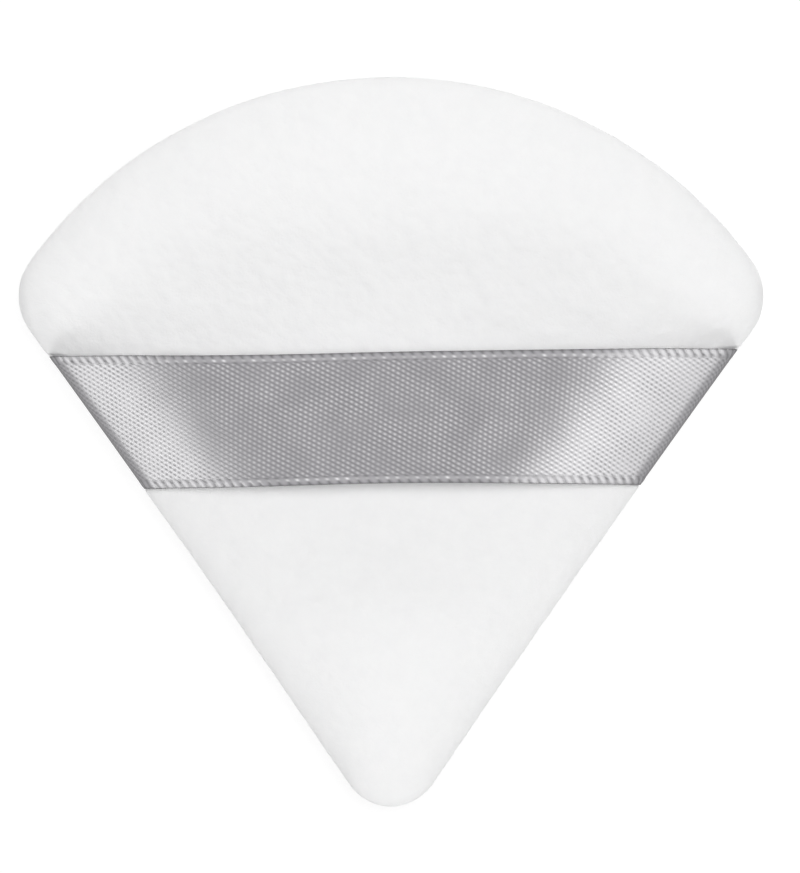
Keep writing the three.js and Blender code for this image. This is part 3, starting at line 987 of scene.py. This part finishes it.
def weave_group():
    """Weave of the satin, on the weave UV in metres, which a noise shifts a little. A slanted
    lattice carries a soft spot, exp(-r^2), at each of its points for the weft's dots and in the
    middle of each of its cells for the gaps, and valleys lie between its rows along its first
    step. Each of these marks is stronger in some patches than in others."""
    group = bpy.data.node_groups.new("satin_weave", "ShaderNodeTree")
    group.interface.new_socket("Vector", in_out="INPUT", socket_type="NodeSocketVector")
    for name in WEAVE_PATCHES:
        group.interface.new_socket(name, in_out="OUTPUT", socket_type="NodeSocketFloat")
    source = group.nodes.new("NodeGroupInput")
    result = group.nodes.new("NodeGroupOutput")
    link = group.links.new

    def vector_math(operation, first, second=None):
        node = group.nodes.new("ShaderNodeVectorMath")
        node.operation = operation
        link(first, node.inputs[0])
        if isinstance(second, tuple):
            node.inputs[1].default_value = second
        elif second is not None:
            link(second, node.inputs[1])
        return node.outputs["Value" if operation == "DOT_PRODUCT" else "Vector"]

    def pair(vector, rows):
        node = group.nodes.new("ShaderNodeCombineXYZ")
        for name, row in zip("XY", rows):
            link(vector_math("DOT_PRODUCT", vector, (*row, 0.0)), node.inputs[name])
        return node.outputs["Vector"]

    def noise(scale):
        node = group.nodes.new("ShaderNodeTexNoise")
        node.inputs["Scale"].default_value = scale
        node.inputs["Detail"].default_value = 1.0
        link(source.outputs["Vector"], node.inputs["Vector"])
        return node

    steps = np.array(WEAVE_STEPS) * MM
    row = steps[0] / np.hypot(*steps[0])
    axes = np.array([row, [-row[1], row[0]]])
    shift = vector_math("SUBTRACT", noise(SHIFT_SCALE).outputs["Color"], (0.5, 0.5, 0.5))
    shift = vector_math("MULTIPLY", shift, (2 * WEAVE_SHIFT * MM,) * 3)
    place = pair(vector_math("ADD", source.outputs["Vector"], shift), np.linalg.inv(steps.T))
    marks = {}
    for name, size, offset in (("Gaps", GAP_SIZE, 0.0), ("Dots", DOT_SIZE, 0.5)):
        cell = vector_math("FRACTION", vector_math("ADD", place, (offset, offset, 0.0)))
        cell = vector_math("SUBTRACT", cell, (0.5, 0.5, 0.0))
        away = pair(cell, axes @ steps.T / (np.array(size) * MM)[:, None])
        squared = vector_math("DOT_PRODUCT", away, away)
        marks[name] = math_node(group, "EXPONENT", math_node(group, "MULTIPLY", squared, -1.0))
    beside = vector_math("DOT_PRODUCT", vector_math("ABSOLUTE", cell), (0.0, 1.0, 0.0))
    marks["Valleys"] = map_range(group, beside, VALLEY_RANGE, blend="SMOOTHSTEP")
    for name, (patches, least, most) in WEAVE_PATCHES.items():
        patch = noise(patches).outputs["Fac"]
        strength = map_range(group, patch, PATCH_RANGE, (least, most), "SMOOTHSTEP")
        link(math_node(group, "MULTIPLY", marks[name], strength), result.inputs[name])
    return group


def satin_material():
    """Grey satin: slanting rows of glossy warp with rough valleys between them, painted dark as
    shade that fades on the slopes; pale weft dots with a painted glint, strongest on the level;
    painted shadow in the gaps on the slopes; and corded edges that carry their own painted light
    and shade, and beads with a painted glint on the level and painted shade on the slopes. It is
    duller at a glancing angle."""
    material, tree, surface, tint = cloth_material(
        "grey_satin", dark=(0.236, 0.231, 0.244), light=(0.271, 0.265, 0.279),
        fibre=9000.0, lump=500.0, lumps=0.3, bump=0.000006, stretch=(0.12, 1.0, 1.0))
    link = tree.links.new

    def attribute(name):
        node = tree.nodes.new("ShaderNodeAttribute")
        node.attribute_name = name
        return node.outputs["Fac"]

    def combined(operation, first, second):
        return math_node(tree, operation, first, second)

    def mixed(factor, *colours):
        node = tree.nodes.new("ShaderNodeMix")
        node.data_type = "RGBA"
        link(factor, node.inputs["Factor"])
        for name, colour in zip("AB", colours):
            if isinstance(colour, tuple):
                node.inputs[name].default_value = (*colour, 1.0)
            else:
                link(colour, node.inputs[name])
        return node.outputs["Result"]

    weave = tree.nodes.new("ShaderNodeGroup")
    weave.node_tree = weave_group()
    link(weave_uv(tree), weave.inputs["Vector"])
    body, level = attribute("satin"), attribute("level")
    dots, gaps, valleys = (combined("MULTIPLY", weave.outputs[name], body)
                           for name in ("Dots", "Gaps", "Valleys"))
    fading = map_range(tree, level, VALLEYS_FADE, (VALLEYS_ON_SLOPE, 1.0))
    valleys = combined("MULTIPLY", valleys, fading)
    # The dots' pale colour carries a painted glint, so it is strongest where the ribbon lies level
    dots = combined("MULTIPLY", dots, map_range(tree, level, target=(DOTS_ON_SLOPE, 1.0)))
    # Painted shadow in the gaps: the gaps times one less the level, so only on the slopes
    slope = combined("SUBTRACT", gaps, combined("MULTIPLY", gaps, level))
    # Painted shade in the valleys, faded where the ribbon slopes
    colour = mixed(valleys, tint.outputs["Result"], VALLEY_PAINTED_SHADE)
    # Pale weft dots with a painted glint
    colour = mixed(dots, colour, DOT_AND_GLINT_COLOUR)
    # Painted shadow in the gaps on the slopes
    colour = mixed(slope, colour, GAP_PAINTED_SHADOW)
    # The shade attribute scales the colour: painted light and shade on the corded edges, at the
    # very edge and where the ribbon turns into the seam
    shaded = tree.nodes.new("ShaderNodeVectorMath")
    shaded.operation = "SCALE"
    link(colour, shaded.inputs[0])
    link(attribute("shade"), shaded.inputs["Scale"])
    # Bead colour by slope: a painted glint on the level, painted shade on the slopes
    bead = mixed(level, BEAD_SHADE_ON_SLOPE, BEAD_AND_GLINT_COLOUR)
    link(mixed(attribute("bead"), shaded.outputs["Vector"], bead), surface.inputs["Base Color"])
    slant = tree.nodes.new("ShaderNodeLayerWeight")
    slant.inputs["Blend"].default_value = 0.5
    glance = map_range(tree, slant.outputs["Facing"], GLANCE_RANGE)
    dull = combined("MAXIMUM", combined("MAXIMUM", gaps, valleys),
                    combined("MAXIMUM", attribute("matt"), glance))
    link(map_range(tree, dull, target=SATIN_ROUGHNESS), surface.inputs["Roughness"])
    dimple = tree.nodes.new("ShaderNodeBump")
    dimple.invert = True
    dimple.inputs["Distance"].default_value = WEAVE_DEPTH * MM
    depth = combined("MAXIMUM", valleys, combined("MULTIPLY", gaps, GAP_DEPTH))
    link(depth, dimple.inputs["Height"])
    link(surface.inputs["Normal"].links[0].from_socket, dimple.inputs["Normal"])
    link(dimple.outputs["Normal"], surface.inputs["Normal"])
    surface.inputs["Specular IOR Level"].default_value = 1.0
    return material


def foam_material():
    """Cream open-cell foam."""
    material, _, surface, _ = cloth_material(
        "cream_foam", dark=(0.80, 0.75, 0.62), light=(0.92, 0.88, 0.76),
        fibre=2500.0, lump=1200.0, lumps=0.5, bump=0.0002)
    surface.inputs["Roughness"].default_value = 1.0
    return material


def thread_material():
    """White spun thread."""
    material, _, surface, _ = cloth_material(
        "white_thread", dark=(0.78, 0.77, 0.75), light=(0.88, 0.87, 0.86),
        fibre=9000.0, lump=2500.0, lumps=0.4, bump=0.00003)
    surface.inputs["Roughness"].default_value = 0.75
    surface.inputs["Sheen Weight"].default_value = 0.1
    return material


def dress(piece, material, slot, body, *nodes):
    """Gives a piece its material and ties it to the frame: body and the nodes it replaces. The slot
    is not used.
    """
    piece.data.materials.append(material)
    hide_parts(*nodes)
    if body:
        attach(piece, body)


velour = velour_material()
satin = satin_material()
thread = thread_material()
dress(velour_back, velour, "velour", "pad", "back_panel")
dress(velour_face, velour, "velour", "pad", "face_panel")
dress(foam, foam_material(), "foam", "pad", "foam_core")
dress(ribbon_left, satin, "satin_ribbon", None, "ribbon_left_end")
dress(ribbon_middle, satin, "satin_ribbon", "strap", "ribbon_crown")
dress(ribbon_right, satin, "satin_ribbon", None, "ribbon_right_end")
dress(seam_thread, thread, "sewing_thread", "pad", "edge_seam_thread")
dress(closing_stitches, thread, "sewing_thread", "pad", "closing_thread")
dress(left_tack, thread, "sewing_thread", "pad", "left_tacking_thread")
dress(right_tack, thread, "sewing_thread", "pad", "right_tacking_thread")


def inside_side(side, distance, height):
    """A point at a height over the seam plane and a distance square to one side of the pad from
    the place where the middle of the ribbon goes into its seam."""
    x, y = np.array([inside_right(0, RIBBON_OFFSET), RIBBON_OFFSET]) - distance * SIDE_NORMAL
    return side * x * MM, y * MM, (SEAM_Z + height) * MM


def lift_line(side):
    """The slanted line for an end of the ribbon: from the inner end of its tail, which stays in the
    seam, to the level of the fold line."""
    fold_height = np.interp(station_at(FOLD_INSET), STRAP_ALONG, STRAP_HEIGHT) - RIBBON_THICKNESS
    start = RIBBON_TAIL + SIDE_DRAW_IN
    low = TAIL_LEVEL + RIBBON_THICKNESS
    reach = FOLD_INSET - LIFT_MARGIN - start + LIFT_SLOPE * (fold_height - low)
    reach /= 1 + LIFT_SLOPE**2
    sewn = inside_side(side, start, low)
    return sewn, inside_side(side, start + reach, low + LIFT_SLOPE * reach)


for side, piece in ((-1, ribbon_left), (1, ribbon_right)):
    sewn, folded = lift_line(side)
    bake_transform(piece)


# Stage

PHOTO_HEIGHT = 873
PIXELS_PER_MM = 10.326
VIEW_CENTRE = (0.88, 0.49)
VIEW_DISTANCE = 600.0
SENSOR = 36.0
FLOOR_HALF = 4000.0
FLOOR_DROP = 0.02


def add_camera():
    """Looks straight down, with +Y up in the picture and a lens that fits the picture's height."""
    camera = bpy.data.objects.new("camera", bpy.data.cameras.new("camera"))
    camera.data.sensor_width = SENSOR
    camera.data.lens = SENSOR * VIEW_DISTANCE / (PHOTO_HEIGHT / PIXELS_PER_MM)
    camera.location = (VIEW_CENTRE[0] * MM, VIEW_CENTRE[1] * MM, (SEAM_Z + VIEW_DISTANCE) * MM)
    camera.data.clip_start = 0.01
    camera.data.clip_end = 20.0
    scene.collection.objects.link(camera)
    scene.camera = camera


def add_softbox(name, place, size, power, diffuse=True, glossy=True):
    """A lamp of a width and height at a place in metres, turned to the middle of the puff. It can
    light the colour of a surface, its gloss, or both."""
    lamp = bpy.data.lights.new(name, "AREA")
    lamp.shape = "RECTANGLE"
    lamp.size, lamp.size_y = size
    lamp.energy = power
    box = bpy.data.objects.new(name, lamp)
    box.location = place
    box.rotation_mode = "QUATERNION"
    box.rotation_quaternion = (-box.location).to_track_quat("-Z", "Y")
    box.visible_diffuse = diffuse
    box.visible_glossy = glossy
    scene.collection.objects.link(box)


def seen_directly(tree):
    """1 for rays that show the background itself: camera, mirror and glass rays."""
    path = tree.nodes.new("ShaderNodeLightPath")
    total = path.outputs["Is Camera Ray"]
    for name in ("Is Glossy Ray", "Is Transmission Ray"):
        total = math_node(tree, "MAXIMUM", total, path.outputs[name])
    return total


def add_floor(glow=0.83, shade=0.2):
    """White floor: where it is seen directly, a glow over a dim surface that takes the shadow, and
    for the light that it throws back, a plain pale surface."""
    corners = np.array([[-1, -1, 0], [1, -1, 0], [1, 1, 0], [-1, 1, 0]]) * FLOOR_HALF
    floor = add_piece("floor", corners, np.array([[0, 1, 2, 3]]))
    floor.location.z = -FLOOR_DROP * MM
    material = bpy.data.materials.new("white_floor")
    material.use_nodes = True
    tree = material.node_tree
    surface = tree.nodes["Principled BSDF"]
    surface.inputs["Base Color"].default_value = (0.8, 0.8, 0.8, 1)
    surface.inputs["Roughness"].default_value = 1.0
    surface.inputs["Specular IOR Level"].default_value = 0.0
    direct = tree.nodes.new("ShaderNodeBsdfDiffuse")
    direct.inputs["Color"].default_value = (shade, shade, shade, 1)
    light = tree.nodes.new("ShaderNodeEmission")
    light.inputs["Strength"].default_value = glow
    both = tree.nodes.new("ShaderNodeAddShader")
    pick = tree.nodes.new("ShaderNodeMixShader")
    link = tree.links.new
    link(direct.outputs["BSDF"], both.inputs[0])
    link(light.outputs["Emission"], both.inputs[1])
    link(seen_directly(tree), pick.inputs["Fac"])
    link(surface.outputs["BSDF"], pick.inputs[1])
    link(both.outputs["Shader"], pick.inputs[2])
    link(pick.outputs["Shader"], tree.nodes["Material Output"].inputs["Surface"])
    floor.data.materials.append(material)


def add_world(fill=0.22):
    """Even, faint fill light from all round, and plain white where it is seen directly."""
    world = bpy.data.worlds.new("studio")
    world.use_nodes = True
    tree = world.node_tree
    light = tree.nodes["Background"]
    light.inputs["Color"].default_value = (1, 1, 1, 1)
    strength = map_range(tree, seen_directly(tree), target=(fill, 1.0))
    tree.links.new(strength, light.inputs["Strength"])
    scene.world = world


add_camera()
add_softbox("overhead_softbox", (0.07, 0.06, 1.0), (0.35, 0.35), 6.7, glossy=False)
add_softbox("front_softbox", (0.0, -1.0, 0.35), (0.8, 0.3), 3.2, glossy=False)
add_softbox("back_softbox", (0.0, 1.0, 0.35), (0.8, 0.3), 3.0, glossy=False)
add_softbox("left_softbox", (-0.54, -0.37, 0.235), (0.3, 0.22), 2.15, diffuse=False)
add_softbox("right_softbox", (0.54, -0.37, 0.39), (0.3, 0.46), 3.8, diffuse=False)
add_floor()
add_world()
scene.view_settings.view_transform = "Standard"
